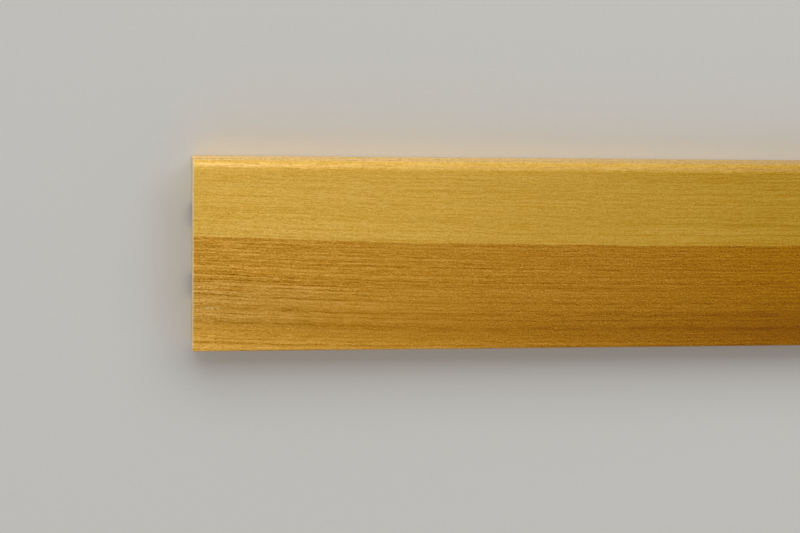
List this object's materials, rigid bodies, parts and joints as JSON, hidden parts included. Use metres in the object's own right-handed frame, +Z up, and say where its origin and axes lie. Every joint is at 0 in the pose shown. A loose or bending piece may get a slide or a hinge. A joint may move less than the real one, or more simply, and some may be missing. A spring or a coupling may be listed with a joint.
{
  "type": "skirting board length",
  "caption": "Straight length of lacquered two-tone timber skirting board, flat face with a rounded front top edge, relief grooves in the back, ends sawn square.",
  "frame": {"origin": "centre of the footprint on the floor: middle of the length and of the face height, at the back face", "axes": "+X along the length, +Y across the face from the bottom edge to the rounded top edge, +Z up, from the back to the face; the board lies on its back, face up"},
  "size_m": [2.4, 0.08, 0.016],
  "materials": {
    "lacquered_timber": "satin clear lacquer on face and edges, pale sapwood above brown heartwood, bare sawn ends"
  },
  "bodies": {
    "root": {"skirting_board": "lacquered_timber"}
  },
  "joints": []
}
